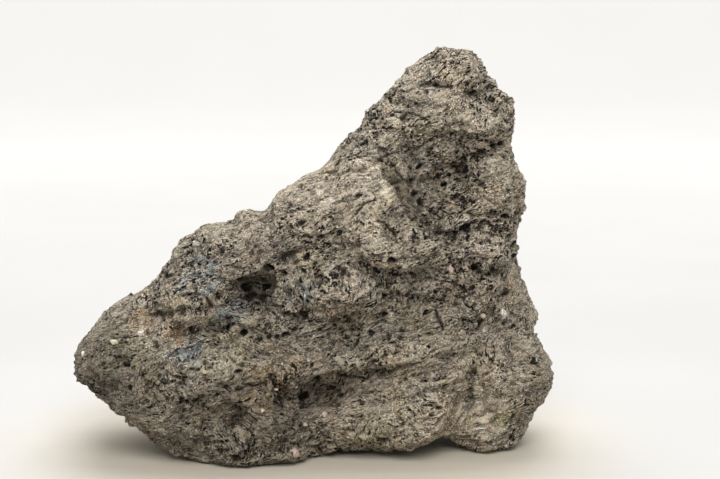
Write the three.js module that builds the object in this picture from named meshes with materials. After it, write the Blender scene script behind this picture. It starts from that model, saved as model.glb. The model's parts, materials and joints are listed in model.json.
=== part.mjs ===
// A lump of black vesicular lava: one solid stone, shaped like a leaning fin, on three worn flats.
// Millimetres. -Y is the front, +X its right-hand end and +Z up. z = 0 is the surface that it stands on.
import * as THREE from "three";
import { ImprovedNoise } from "three/addons/math/ImprovedNoise.js";

// Driving dimensions.
const LENGTH = 303;
const HEIGHT = 251;
const MOST_DEPTH = 170;
const CELL = 7.35; // the size of the net's cells, and so of its facets
const MARGIN_CELLS = 3; // cells of empty space around the stone
const EDGE_ROUND = 42; // how far in from the outline the stone reaches its full depth
const BLEND = 3; // how softly a lobe grows out of the body
const HOLLOW_BLEND = 3; // how softly a hollow is let into it
const FLOW_RISE = 14; // degrees that the frozen flow climbs towards +X
const BILLOWS = { size: 10, pitch: 37, stretch: 1.8 };
const RIPPLES = { size: 4.6, pitch: 18, stretch: 2 };
const WARP = { size: 9, pitch: 33 }; // how far the lobes and hollows wander from plain ellipsoids
const STOCK = 3.4; // what is taken off all over, to make up for the billows
const FILL = 0.1; // how far inside, in cells, a filled corner lies
const SLATE = 0x4d4740;

// The stone's outline seen from the front, clockwise from the tip of its nose: [x, z].
const OUTLINE = [
  [-151, 54], [-147, 66], [-136, 80], [-122, 90], [-105, 99], [-96, 108], [-88, 121], [-79, 134],
  [-69, 140], [-57, 142], [-48, 148], [-38, 153], [-30, 149], [-22, 159], [-5, 170], [7, 176],
  [12, 187], [27, 204], [41, 221], [57, 239], [73, 249], [92, 253], [106, 248], [112, 236],
  [116, 224], [121, 213], [124, 199], [127, 186], [132, 170], [133, 153], [127, 140], [128, 113],
  [137, 97], [144, 79], [150, 64], [153, 48], [150, 34], [141, 22], [131, 4], [112, -6],
  [96, -4], [88, 5], [78, 4], [66, -4], [0, -8], [-62, -8], [-94, -1], [-106, 9],
  [-115, 22], [-134, 38], [-145, 44],
];

// Depth of the body in front of and behind the outline, at a few heights: [z, front, back].
const DEPTHS = [
  [0, 36, 52], [30, 42, 66], [70, 46, 74], [110, 36, 68],
  [150, 30, 52], [190, 27, 38], [225, 22, 28], [251, 16, 18],
];
const FRONT_TURN = 0.12; // how much shallower the front gets with each millimetre towards +X

// Swellings that stand out of the body. Turns are in degrees about X, Y and Z.
const LOBES = [
  { name: "nose", at: [-78, -20, 57], radii: [60, 42, 25], turn: [0, -4, 4] },
  { name: "nose tip", at: [-124, -8, 60], radii: [22, 22, 13], turn: [0, 6, 0] },
  { name: "nose ridge", at: [-60, -32, 70], radii: [66, 31, 12], turn: [14, -5, 0] },
  { name: "shoulder boulder", at: [-64, -30, 106], radii: [31, 30, 15], turn: [0, -10, 0] },
  { name: "shoulder crest", at: [-42, 0, 130], radii: [22, 24, 15], turn: [0, -20, 0] },
  { name: "smooth slab", at: [8, -12, 144], radii: [52, 36, 26], turn: [-16, -30, 0] },
  { name: "slab ridge", at: [38, -18, 162], radii: [31, 33, 27], turn: [-16, -30, 0] },
  { name: "slab corner", at: [62, -26, 142], radii: [18, 22, 20], turn: [0, 20, 0] },
  { name: "spire step", at: [46, -10, 196], radii: [18, 18, 26], turn: [0, 40, 0] },
  { name: "spire brow", at: [92, -10, 211], radii: [30, 20, 13], turn: [0, 6, 0] },
  { name: "cap", at: [80, -4, 232], radii: [29, 21, 16], turn: [0, -16, 0] },
  { name: "right rim", at: [114, -2, 170], radii: [13, 20, 24], turn: [0, 0, 0] },
  { name: "upper knob", at: [38, -34, 139], radii: [19, 22, 14], turn: [0, 8, 0] },
  { name: "lower knob", at: [18, -32, 111], radii: [27, 27, 21], turn: [0, -6, 0] },
  { name: "right ledge", at: [96, -16, 130], radii: [29, 25, 12], turn: [0, -8, -4] },
  { name: "right terrace", at: [90, -18, 99], radii: [34, 25, 13], turn: [0, -24, -6] },
  { name: "middle layer", at: [36, -22, 69], radii: [82, 34, 13], turn: [0, -11, -7] },
  { name: "lower flank", at: [62, -12, 30], radii: [48, 32, 24], turn: [0, -4, 0] },
  { name: "left belly", at: [-50, -26, 30], radii: [48, 36, 25], turn: [0, 6, 0] },
  { name: "right column", at: [120, 0, 62], radii: [22, 34, 50], turn: [0, -4, 0] },
  { name: "right knob", at: [138, 2, 44], radii: [12, 20, 18], turn: [0, 0, 0] },
  { name: "back buttress", at: [66, 42, 90], radii: [34, 34, 76], turn: [14, 12, 0] },
  { name: "back heel", at: [-40, 48, 40], radii: [58, 32, 28], turn: [0, 8, 8] },
  { name: "back knob", at: [-10, 50, 98], radii: [30, 24, 20], turn: [0, 20, 0] },
  { name: "back shelf", at: [86, 50, 34], radii: [42, 30, 20], turn: [0, 0, -12] },
  { name: "back terrace", at: [40, 44, 130], radii: [34, 22, 15], turn: [0, 16, 10] },
  { name: "back spire rib", at: [84, 24, 196], radii: [16, 18, 34], turn: [10, 14, 0] },
  { name: "heel layer", at: [-62, 40, 76], radii: [46, 26, 13], turn: [0, 14, 8] },
  { name: "flank layer", at: [112, 26, 94], radii: [20, 34, 14], turn: [12, 0, 0] },
  { name: "left foot", at: [-42, -20, 4], radii: [58, 31, 14], turn: [0, 0, 0] },
  { name: "right foot", at: [110, 0, 4], radii: [19, 22, 13], turn: [0, 0, 0] },
  { name: "back foot", at: [24, 40, 4], radii: [32, 22, 15], turn: [0, 0, 0] },
];

// Hollows let into the body, and the gaps that leave it standing on its feet.
const HOLLOWS = [
  { name: "spire recess", at: [94, -54, 172], radii: [30, 44, 32], turn: [0, 16, 0] },
  { name: "recess throat", at: [92, -30, 182], radii: [11, 24, 9], turn: [0, 0, 0] },
  { name: "under the upper knob", at: [42, -62, 124], radii: [22, 20, 6], turn: [0, -8, 0] },
  { name: "under the lower knob", at: [26, -74, 88], radii: [42, 32, 8], turn: [0, -6, 0] },
  { name: "under the ledge", at: [98, -50, 114], radii: [26, 24, 8], turn: [0, -10, 0] },
  { name: "above the ledge", at: [90, -46, 146], radii: [15, 24, 9], turn: [0, 0, 0] },
  { name: "left pocket", at: [-30, -54, 106], radii: [15, 30, 13], turn: [0, 30, 0] },
  { name: "pocket channel", at: [-8, -62, 96], radii: [28, 28, 8], turn: [0, 20, 0] },
  { name: "under the slab", at: [-18, -58, 126], radii: [30, 22, 7], turn: [0, 0, 0] },
  { name: "shoulder step", at: [-72, -64, 89], radii: [56, 30, 5], turn: [0, 2, 4] },
  { name: "long undercut", at: [4, -62, 47], radii: [40, 30, 12], turn: [0, -8, 0] },
  { name: "seam", at: [60, -62, 55], radii: [46, 30, 7], turn: [0, -11, 0] },
  { name: "belly pocket", at: [-46, -66, 30], radii: [24, 20, 12], turn: [0, -12, 0] },
  { name: "flank groove", at: [93, -44, 34], radii: [8, 28, 24], turn: [0, 4, 0] },
  { name: "cap crack", at: [106, -26, 222], radii: [14, 20, 4], turn: [0, 24, 0] },
  { name: "back gully", at: [14, 84, 70], radii: [15, 32, 44], turn: [0, -18, 0] },
  { name: "back scoop", at: [104, 66, 132], radii: [26, 28, 34], turn: [0, 0, 0] },
  { name: "back seam", at: [-30, 92, 62], radii: [64, 28, 12], turn: [0, 12, 6] },
  { name: "flank seam", at: [150, 22, 78], radii: [20, 40, 8], turn: [12, 0, 0] },
  { name: "spire back hollow", at: [60, 54, 172], radii: [34, 24, 20], turn: [0, 30, 0] },
  { name: "front arch", at: [82, -20, -4], radii: [13, 40, 10], turn: [0, 0, 0] },
  { name: "rear arch", at: [-40, 48, -6], radii: [46, 34, 16], turn: [0, 0, 0] },
  { name: "right arch", at: [84, 40, -6], radii: [26, 24, 16], turn: [0, 0, 0] },
  { name: "middle arch", at: [34, 8, -6], radii: [52, 22, 14], turn: [0, 0, 0] },
];

const noise = new ImprovedNoise();

// One swelling or hollow as a function of a point: its distance, negative inside.
function lump({ at, radii, turn }) {
  const toLocal = new THREE.Matrix4()
    .compose(
      new THREE.Vector3(...at),
      new THREE.Quaternion().setFromEuler(new THREE.Euler(...turn.map(THREE.MathUtils.degToRad))),
      new THREE.Vector3(1, 1, 1),
    )
    .invert();
  const size = new THREE.Vector3(...radii);
  const local = new THREE.Vector3();
  return (x, y, z) => {
    const across = local.set(x, y, z).applyMatrix4(toLocal).divide(size).length();
    const steepness = local.divide(size).length();
    return steepness > 0 ? (across * (across - 1)) / steepness : -Math.min(...radii);
  };
}

// The smaller of two distances, with the corner between them filled over a width of soft.
function softMin(a, b, soft) {
  const near = Math.max(soft - Math.abs(a - b), 0) / soft;
  return Math.min(a, b) - (near * near * soft) / 4;
}

function softMax(a, b, soft) {
  return -softMin(-a, -b, soft);
}

// How far a point of the front view lies inside the outline: negative outside it.
function outlineDepth() {
  const corners = OUTLINE.map(([x, z]) => new THREE.Vector3(x, z, 0));
  const curve = new THREE.CatmullRomCurve3(corners, true, "centripetal");
  const loop = curve.getPoints(OUTLINE.length * 3).slice(0, -1);
  return (x, z) => {
    let nearest = Infinity;
    let inside = false;
    loop.forEach((a, i) => {
      const b = loop[(i + 1) % loop.length];
      const [dx, dz] = [b.x - a.x, b.y - a.y];
      const along = THREE.MathUtils.clamp(((x - a.x) * dx + (z - a.y) * dz) / (dx * dx + dz * dz), 0, 1);
      nearest = Math.min(nearest, Math.hypot(x - a.x - along * dx, z - a.y - along * dz));
      if (a.y > z !== b.y > z && x < a.x + ((z - a.y) * dx) / dz) inside = !inside;
    });
    return inside ? nearest : -nearest;
  };
}

// The body's depth in front of the outline, or behind it, at a height.
function depthAt(z, column) {
  const above = DEPTHS.findIndex(([height]) => height > z);
  if (above === 0) return DEPTHS[0][column];
  if (above < 0) return DEPTHS.at(-1)[column];
  const [low, high] = [DEPTHS[above - 1], DEPTHS[above]];
  return THREE.MathUtils.mapLinear(z, low[0], high[0], low[column], high[column]);
}

// The body: the outline swelled to its depth, with a rounded rim.
function body(inward, x, y, z) {
  const depth = y < 0 ? depthAt(z, 1) - FRONT_TURN * x : depthAt(z, 2);
  const rim = Math.max(EDGE_ROUND - inward, 0) / EDGE_ROUND;
  const across = Math.hypot(rim, y / depth);
  const steepness = Math.hypot(rim / EDGE_ROUND, y / depth / depth);
  return steepness > 0 ? (across * (across - 1)) / steepness : -depth;
}

// Rounded swells with sharp creases between them, drawn out along the flow. More is further out.
function billow(x, y, z, { size, pitch, stretch }) {
  const rise = THREE.MathUtils.degToRad(FLOW_RISE);
  const along = x * Math.cos(rise) + z * Math.sin(rise);
  const across = z * Math.cos(rise) - x * Math.sin(rise);
  return size * Math.abs(noise.noise(along / pitch / stretch, y / pitch, across / pitch));
}

// A point moved about smoothly, so that what is measured from it loses its plain shape.
function warped(x, y, z, { size, pitch }) {
  const [a, b, c] = [x / pitch, y / pitch, z / pitch];
  return [x + size * noise.noise(a, b, c), y + size * noise.noise(b, c, a), z + size * noise.noise(c, a, b)];
}

// The whole stone as a distance, negative inside. It is worn flat at z = 0.
function stone() {
  const inwardAt = outlineDepth();
  const lobes = LOBES.map(lump);
  const hollows = HOLLOWS.map(lump);
  return (x, y, z) => {
    let distance = body(inwardAt(x, z), x, y, z);
    const moved = warped(x, y, z, WARP);
    for (const lobe of lobes) distance = softMin(distance, lobe(...moved), BLEND);
    for (const hollow of hollows) distance = softMax(distance, -hollow(...moved), HOLLOW_BLEND);
    return Math.max(distance - billow(x, y, z, BILLOWS) - billow(x, y, z, RIPPLES) + STOCK, -z);
  };
}

const CELL_CORNERS = [0, 1, 2, 3, 4, 5, 6, 7].map((n) => [n & 1, (n >> 1) & 1, (n >> 2) & 1]);

// Where the surface crosses the edges of one cell, on average, in cells from its first corner.
function middleOfCrossings(valueAt) {
  const sum = [0, 0, 0];
  let crossings = 0;
  for (const corner of CELL_CORNERS) {
    for (let axis = 0; axis < 3; axis++) {
      if (corner[axis] === 1) continue;
      const far = corner.map((n, c) => (c === axis ? 1 : n));
      const [near, beyond] = [valueAt(corner), valueAt(far)];
      if (near < 0 === beyond < 0) continue;
      corner.forEach((n, c) => {
        sum[c] += c === axis ? near / (near - beyond) : n;
      });
      crossings++;
    }
  }
  return crossings ? sum.map((v) => v / crossings) : null;
}

// Fills in each grid square with only two opposite corners inside, where four facets would share an edge.
function fillPinches(values, nodes, counts, strides) {
  let filled = 0;
  nodes.forEach((node, at) => {
    for (let axis = 0; axis < 3; axis++) {
      const [u, v] = [(axis + 1) % 3, (axis + 2) % 3];
      if (node[u] === counts[u] - 1 || node[v] === counts[v] - 1) continue;
      const square = [at, at + strides[u], at + strides[u] + strides[v], at + strides[v]];
      const inside = square.map((n) => values[n] < 0);
      if (inside[0] !== inside[2] || inside[1] !== inside[3] || inside[0] === inside[1]) continue;
      const outer = square.filter((n, i) => !inside[i]);
      values[outer[0]] = -CELL * FILL;
      filled++;
    }
  });
  return filled;
}

// A net of four-sided facets over the zero surface of a distance, with its faces outwards.
function surfaceNet(distance, low, high, cell) {
  const counts = low.map((v, axis) => Math.ceil((high[axis] - v) / cell) + 1);
  const strides = [1, counts[0], counts[0] * counts[1]];
  const nodes = [];
  for (let k = 0; k < counts[2]; k++) {
    for (let j = 0; j < counts[1]; j++) {
      for (let i = 0; i < counts[0]; i++) nodes.push([i, j, k]);
    }
  }
  const values = nodes.map((node) => distance(...node.map((n, axis) => low[axis] + n * cell)));
  while (fillPinches(values, nodes, counts, strides));

  // One vertex in each cell that the surface crosses.
  const places = [];
  const vertexOf = new Map();
  nodes.forEach((node, at) => {
    if (node.some((n, axis) => n === counts[axis] - 1)) return;
    const valueAt = (corner) => values[corner.reduce((sum, n, axis) => sum + n * strides[axis], at)];
    const middle = middleOfCrossings(valueAt);
    if (!middle) return;
    vertexOf.set(at, places.length / 3);
    places.push(...middle.map((v, axis) => low[axis] + (node[axis] + v) * cell));
  });

  // One facet across each grid line that the surface crosses.
  const index = [];
  nodes.forEach((node, at) => {
    for (let axis = 0; axis < 3; axis++) {
      const [u, v] = [(axis + 1) % 3, (axis + 2) % 3];
      if (node[axis] === counts[axis] - 1 || !node[u] || !node[v]) continue;
      const [near, beyond] = [values[at], values[at + strides[axis]]];
      if (near < 0 === beyond < 0) continue;
      const around = [at, at - strides[u], at - strides[u] - strides[v], at - strides[v]];
      const ring = around.map((n) => vertexOf.get(n));
      if (beyond < 0) ring.reverse();
      index.push(ring[0], ring[1], ring[2], ring[0], ring[2], ring[3]);
    }
  });
  return new THREE.BufferGeometry()
    .setAttribute("position", new THREE.Float32BufferAttribute(places, 3))
    .setIndex(index);
}

// The net, centred over the origin.
function stoneGeometry() {
  const reach = [LENGTH / 2, MOST_DEPTH / 2, 0].map((half) => half + MARGIN_CELLS * CELL);
  const low = reach.map((half) => -half);
  const high = [reach[0], reach[1], HEIGHT + reach[2]];
  const geometry = surfaceNet(stone(), low, high, CELL);
  geometry.computeVertexNormals();
  geometry.computeBoundingBox();
  const middle = geometry.boundingBox.getCenter(new THREE.Vector3());
  return geometry.translate(-middle.x, -middle.y, 0);
}

const rock = new THREE.Mesh(
  stoneGeometry(),
  new THREE.MeshStandardMaterial({ color: SLATE, roughness: 0.95, metalness: 0 }),
);
rock.name = "lava_rock";

const object = new THREE.Group();
object.add(rock);
export default object;
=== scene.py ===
# A lump of dark, bubbly lava standing on a pale table under soft light from above.
# The stone starts as the CAD solid. It is rounded, worked over coarse and then fine, and thinned
# to the triangles that its detail needs. Lengths in the working parts are in millimetres, the
# scale of pores and cracks; the scene's own units are metres. Front features are placed by x and z.
import json
import math

import bpy
import numpy as np
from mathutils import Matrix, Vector
from mathutils.bvhtree import BVHTree

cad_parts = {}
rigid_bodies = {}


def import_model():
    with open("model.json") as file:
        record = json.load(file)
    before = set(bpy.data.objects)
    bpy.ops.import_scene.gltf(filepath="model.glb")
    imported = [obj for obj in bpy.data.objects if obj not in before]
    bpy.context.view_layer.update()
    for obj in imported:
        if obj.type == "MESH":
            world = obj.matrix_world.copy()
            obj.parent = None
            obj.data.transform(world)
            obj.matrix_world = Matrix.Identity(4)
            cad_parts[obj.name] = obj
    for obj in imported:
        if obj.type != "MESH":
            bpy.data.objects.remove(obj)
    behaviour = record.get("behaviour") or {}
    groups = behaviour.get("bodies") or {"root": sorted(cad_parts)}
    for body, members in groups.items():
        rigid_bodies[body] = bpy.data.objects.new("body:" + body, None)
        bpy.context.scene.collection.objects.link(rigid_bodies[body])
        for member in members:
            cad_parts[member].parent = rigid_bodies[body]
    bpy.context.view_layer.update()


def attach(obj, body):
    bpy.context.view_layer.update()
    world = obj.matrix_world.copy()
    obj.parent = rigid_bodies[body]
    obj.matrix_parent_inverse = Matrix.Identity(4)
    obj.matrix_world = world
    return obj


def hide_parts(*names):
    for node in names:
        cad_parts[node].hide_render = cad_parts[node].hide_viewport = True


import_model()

# ---------------------------------------------------------------- driving dimensions
MM = 0.001
COARSE_CELL = 1.7                   # voxels of the coarse working-over
FINE_CELL = 0.9                     # voxels of the fine one
TRIANGLES = 196000
SHARP_ANGLE = math.radians(32)      # edges sharper than this stay sharp
FLOW_RISE = math.radians(22)        # the lava's flow climbs to the right
LIP = 0.16                          # share of a layer taken by its lower lip
FOOT_FADE = 3.0                     # height over which the working-over sets in
FOOT_FLAT = 0.4                     # what is lower than this lies on the table
LEDGE_REACH = 8.0                   # how far under a ledge its step has faded out
RIDGE_WANDER = 0.35                 # ridges wander this much as far as other edges
RIDGE_LIP = 0.4                     # the rise on a ridge's own side, as a share of its drop
SHADED_REACH = 5.0                  # how far under a ledge its painted shade has faded out
SHADED_PER_MM = 0.06                # how much a step's painted shade darkens, for each mm of the step
SHADED_MOST = 0.6
CRACK_WIDTH = 1.3                   # half the width of a crack at its middle
HOLE_DEPTH = 1.7                    # as a multiple of the hole's radius
OWN_SHARE = 0.4                     # how much of its own value a vertex keeps when averaged
SCATTERED_GRAINS = 130
SCATTERED_KINDS = ("white", "pink", "ochre")
GRAIN_CLEARANCE = 3.0               # no scattered grain sits lower than this
GRAIN_SINK = 0.25                   # how deep a grain's middle lies, as a share of its radius
GRAIN_SWELL = 1.25                  # an uneven grain is this much larger than its even form
IN_FRONT = 400.0                    # further forward than any of the stone

# The stage, in metres, and its lens, in millimetres.
PAPER_REACH = 12.0                  # to each side, and forwards
PAPER_BACK = 2.4                    # where the paper starts to curve up
PAPER_BEND = 0.5                    # radius of that curve
PAPER_TOP = 4.0
EYE = (0.0291, -1.1063, 0.307)
EYE_TILT = math.radians(81)         # 90 would be level, less looks down
EYE_NEAREST = 0.01
LENS = 89.7
SENSOR = 36

# Knobs: x, z, half length, half height, tilt in degrees, how far they stand out.
KNOBS = [
    (38, 141, 11, 9, 10, 2.0),      # upper knob
    (17, 115, 17, 13, 12, 2.5),     # lower knob
    (-60, 113, 20, 14, 14, -2.5),   # boulder with the blue patch
    (-54, 125, 13, 5, 0, 2.5),      # arch over the slot
    (-38, 141, 9, 8, 30, 2.5),      # shoulder crest
    (-41, 149, 7, 5, 0, 3.5),
    (-64, 139, 9, 5, 20, 3.5),      # lump left of the crest
    (46, 197, 10, 5, 10, 2.5),      # plate on the spire
    (71, 206, 9, 5, 25, 2.0),       # brow
    (101, 208, 13, 9, -20, 2.5),    # right shoulder of the brow
    (83, 239, 17, 8, 10, 1.5),      # cap
    (80, 219, 16, 4, 5, 2.0),       # roll under the cap
    (42, 168, 15, 9, -40, 3.0),     # bright end of the slab
    (49, 169, 18, 6, -59, 3.5),     # brink of the slab
    (67, 147, 11, 5, -52, 2.5),
    (17, 162, 20, 7, 22, 1.5),      # middle of the slab
    (64, 146, 8, 7, -50, 1.5),      # toe of the slab
    (82, 91, 9, 9, -50, 2.5),       # right lump
    (96, 96, 7, 8, 0, 2.0),
    (89, 129, 14, 4, 20, 1.0),      # right ledge
    (87, 147, 7, 4, 10, 2.0),       # lip of the lower hollow
    (-122, 61, 9, 7, -10, 2.5),     # lump on the nose
    (-96, 75, 24, 6, 18, 1.5),
    (-47, 48, 9, 3, -30, 2.5),      # crescent
    (-66, 52, 16, 5, -8, 1.5),
    (-13, 86, 15, 4, -12, 2.0),     # crest of the nose
    (-31, 92, 14, 4, -5, 2.0),
    (23, 72, 24, 5, 5, 1.0),        # layer across the middle
    (66, 77, 22, 4, 12, 1.5),
    (32, 26, 20, 13, 20, 2.5),      # lower flank
    (72, 29, 14, 14, 0, 2.0),
    (114, 44, 7, 20, 8, 2.5),       # column
    (137, 56, 7, 14, 10, 2.0),
    (111, 83, 8, 11, 0, 1.5),
    (109, 16, 14, 7, 10, 2.0),      # right foot
    (118, 160, 6, 13, 5, 2.0),      # rim of the recess
    (-80, 17, 17, 4, -22, 2.0),     # layers low on the left
    (-13, 16, 24, 6, 3, 1.5),
]

# Undercuts filled out straight forwards: x, z, half length, half height, tilt in degrees, how far.
FILLS = [
    (72, 116, 38, 14, -3, 8.0),     # below the right ledge
    (-64, 90, 36, 12, 10, 8.0),     # shelf under the boulder
    (70, 56, 40, 11, 12, 6.0),      # below the layer across the middle
]

# Hollows: x, z, half length, half height, tilt in degrees, depth.
HOLLOWS = [
    (57, 170, 19, 3.0, -59, 6),     # groove down the right of the slab
    (73, 143, 12, 2.5, -52, 5),
    (82, 174, 25, 30, -30, 9),      # recess under the brow
    (86, 178, 13, 12, 20, 3),
    (87, 139, 9, 7, -30, 4),        # lower recess
    (99, 119, 5, 6, 0, 5),
    (81, 108, 12, 2.5, 3, 4),
    (-35, 107, 16, 11, 25, 9),      # deep pocket beside the boulder
    (-26, 121, 5, 4, 0, 4),
    (-28, 150, 6, 6, -20, 4.5),     # notch between the crest and the slab
    (-51, 147, 4, 5, 0, 4),
    (-15, 127, 9, 3, 25, 3),        # channel out of the pocket
    (-18, 96, 11, 4, -22, 4),
    (20, 91, 12, 5, 12, 7),         # brown hollow under the lower knob
    (43, 92, 4, 4, 0, 4),
    (19, 120, 4, 3, 0, 3),
    (5, 115, 4, 3, 20, 4),
    (-5, 79, 6, 2.5, 0, 3),
    (6, 42, 17, 8, -5, 6),          # dark hollow under the seam
    (-6, 39, 4, 4, 0, 4),
    (-48, 28, 8, 4, 35, 5),
    (-97, 54, 6, 4, 10, 3),
    (97, 37, 3, 11, -5, 4),         # groove beside the column
    (121, 68, 4, 9, 10, 3),
    (36, 129, 10, 3, 8, 5),         # under the upper knob
    (47, 145, 6, 5, 30, 2),
    (44, 192, 9, 2.5, 8, 3),        # under the plate
    (-56, 131, 4, 1.8, 10, 4),
    (-52, 87, 7, 2, 20, 2),
]

# Holes: x, z, radius.
HOLES = [
    (91, 177, 3.6), (87, 179, 2.4), (93, 184, 2.0), (84, 173, 1.6), (90, 169, 1.6), (81, 167, 2.2),
    (60, 172, 3.2), (59, 179, 2.2), (61, 163, 2.9), (66, 158, 2.9), (69, 163, 1.6), (65, 180, 1.9),
    (73, 152, 2.4), (78, 145, 2.2), (63, 192, 2.2), (67, 194, 1.4), (60, 200, 1.6), (56, 209, 1.9),
    (97, 225, 1.9), (103, 190, 2.3), (110, 192, 2.4), (115, 193, 2.3), (117, 187, 1.9), (99, 187, 2.0),
    (104, 169, 1.8), (119, 166, 1.5), (116, 149, 2.2), (123, 152, 1.5), (104, 143, 1.9), (93, 143, 2.8),
    (82, 142, 2.2), (87, 140, 2.2), (77, 142, 2.2), (70, 225, 1.3), (80, 216, 1.3), (-5, 151, 2.2),
    (-11, 148, 1.6), (27, 167, 1.6), (0, 166, 1.8), (-14, 159, 1.5), (5, 142, 1.5), (11, 137, 1.8),
    (21, 134, 1.4), (48, 128, 2.2), (49, 121, 1.6), (-3, 129, 1.9), (-9, 125, 1.6), (2, 125, 1.3),
    (-5, 120, 1.4), (-26, 121, 3.4), (-17, 118, 2.2), (-30, 111, 1.6), (-28, 106, 2.2), (-40, 107, 3.4),
    (-38, 102, 2.8), (-42, 114, 2.4), (-31, 100, 2.0), (19, 122, 1.8), (22, 119, 1.3), (6, 118, 1.7),
    (41, 111, 1.9), (43, 105, 1.8), (48, 113, 1.5), (53, 107, 1.5), (63, 107, 1.6), (44, 92, 2.0),
    (13, 106, 1.5), (-14, 94, 2.2), (-10, 93, 2.0), (-5, 92, 2.2), (54, 84, 1.8), (36, 82, 2.2),
    (53, 80, 1.6), (99, 121, 2.4), (-39, 84, 2.0), (-51, 87, 2.0), (-32, 79, 1.8), (-26, 81, 1.8),
    (-20, 81, 1.8), (-15, 82, 2.2), (-81, 76, 1.4), (-92, 77, 1.4), (-111, 66, 1.8), (-42, 63, 1.8),
    (3, 51, 2.6), (-6, 40, 2.6), (12, 45, 2.2), (18, 41, 1.8), (78, 35, 1.9), (56, 46, 1.5),
    (30, 38, 1.5), (43, 14, 2.0), (118, 103, 1.9), (116, 85, 1.9), (108, 9, 1.9), (-45, 8, 1.9),
    (40, 199, 1.8), (32, 196, 2.0), (36, 206, 1.6), (20, 190, 1.6),
]

# Ledges: the points of an edge from left to right, and how deep the stone steps back under it.
LEDGES = [
    ([(-105, 92), (-93, 96), (-74, 102), (-63, 102), (-49, 101), (-42, 103)], 4.0),
    ([(-31, 101), (-18, 96), (-11, 93), (-3, 91)], 3.5),
    ([(-65, 126), (-54, 130), (-45, 127)], 2.5),
    ([(8, 179), (20, 185), (33, 188), (46, 187)], -3.0),
    ([(39, 192), (47, 193), (56, 194)], 2.5),
    ([(45, 223), (50, 221), (60, 221), (74, 220), (84, 218)], 2.5),
    ([(92, 226), (97, 228), (104, 227)], 4.0),
    ([(95, 185), (103, 190), (113, 194), (118, 197)], 3.0),
    ([(12, 62), (22, 61), (36, 60), (47, 61)], 4.0),
    ([(77, 109), (84, 109), (92, 111)], 3.0),
    ([(-60, 85), (-54, 87), (-46, 92)], 3.0),
    ([(-7, 130), (-16, 126), (-25, 122)], 3.0),
    ([(-18, 152), (-14, 143), (-6, 140), (5, 140)], -3.5),
    ([(70, 231), (77, 232), (83, 233)], 2.5),
    ([(-127, 55), (-121, 52), (-114, 50)], 2.5),
    ([(83, 15), (92, 12), (101, 10), (106, 5)], 3.0),
    ([(-56, 44), (-47, 44), (-40, 36)], 2.5),
]

# Ridge feet: the points of an edge from top to bottom, how deep the stone drops to its right,
# and how far from the edge the drop has faded out.
RIDGE_FEET = [
    ([(45, 188), (49, 182), (54, 174), (58, 165), (63, 157), (71, 150), (78, 140)], 9.5, 26),
    ([(54, 206), (60, 196), (65, 184)], 5.0, 16),
    ([(53, 37), (57, 26), (55, 12)], 2.0, 12),
    ([(102, 62), (99, 48), (95, 30)], 3.0, 9),
]

# Cracks: the points along them, and their depth.
CRACKS = [
    ([(47, 187), (52, 178), (58, 168), (63, 159), (69, 150)], 3.5),
    ([(-88, 110), (-83, 105)], 3.0),
    ([(-100, 104), (-90, 111), (-79, 118)], 2.5),
    ([(40, 151), (46, 146), (52, 139)], 3.5),
    ([(16, 56), (24, 54), (36, 53)], 3.0),
    ([(12, 72), (14, 66), (19, 61)], 3.0),
    ([(29, 79), (26, 74)], 3.0),
    ([(47, 82), (47, 77)], 3.0),
    ([(37, 72), (33, 66)], 2.5),
    ([(68, 93), (73, 95)], 2.5),
    ([(74, 95), (76, 90), (78, 84)], 3.5),
    ([(84, 112), (92, 108), (99, 109)], 3.0),
    ([(-8, 104), (0, 101), (6, 96)], 2.5),
    ([(-58, 100), (-66, 108), (-77, 108)], 2.5),
    ([(10, 176), (22, 180), (31, 181)], 2.0),
    ([(12, 161), (22, 163), (31, 168)], 2.0),
    ([(27, 156), (33, 162), (39, 164)], 2.0),
    ([(50, 214), (60, 213), (72, 209)], 2.5),
    ([(62, 228), (72, 231), (84, 229)], 2.0),
    ([(104, 90), (100, 83)], 3.0),
    ([(-49, 71), (-44, 68), (-36, 67)], 2.5),
    ([(-42, 57), (-35, 54), (-28, 54)], 3.0),
    ([(76, 148), (78, 142), (80, 135)], 3.0),
    ([(14, 121), (19, 117), (22, 111)], 2.0),
]

# Mineral grains on the front: x, z, radius and kind.
GRAINS = [
    (-103, 82, 1.6, "white"), (-119, 77, 1.7, "green"), (-140, 67, 1.5, "white"),
    (-7, 130, 1.4, "ochre"), (57, 144, 1.2, "pink"), (69, 141, 0.9, "white"),
    (8, 31, 1.8, "pink"), (-10, 9, 2.1, "pink"), (26, 37, 1.0, "pink"), (22, 16, 1.0, "pink"),
    (-4, 26, 1.1, "pink"), (116, 92, 1.8, "white"), (104, 91, 1.3, "pink"), (104, 82, 1.1, "white"),
    (84, 120, 1.7, "pink"), (80, 121, 1.0, "pink"), (70, 42, 0.9, "white"), (96, 220, 1.0, "white"),
    (89, 198, 0.8, "white"), (91, 186, 0.8, "white"), (78, 206, 0.8, "ochre"), (46, 219, 1.1, "ochre"),
    (5, 130, 0.9, "ochre"), (-63, 64, 1.0, "ochre"), (-2, 67, 1.0, "pink"), (-76, 106, 0.8, "ochre"),
    (-70, 133, 2.0, "white"), (68, 75, 0.7, "ochre"), (47, 67, 0.7, "ochre"), (-29, 38, 0.9, "white"),
    (-55, 47, 0.8, "white"), (132, 47, 0.8, "white"), (131, 43, 0.7, "white"),
]

# Stains: x, z, reach and colour.
STAINS = [
    (-66, 116, 13, "blue"), (-51, 72, 14, "olive"), (-75, 74, 12, "blue"), (-7, 107, 10, "blue"),
    (-19, 62, 13, "ochre"), (-27, 46, 13, "ochre"), (121, 23, 9, "lime"), (-104, 86, 9, "rust"),
    (-82, 84, 8, "rust"), (-49, 96, 9, "blue"), (-124, 61, 12, "olive"), (-25, 139, 12, "pink"),
    (95, 129, 12, "pink"), (35, 21, 14, "olive"), (20, 91, 12, "brown"), (-112, 74, 16, "olive"),
]
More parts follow.
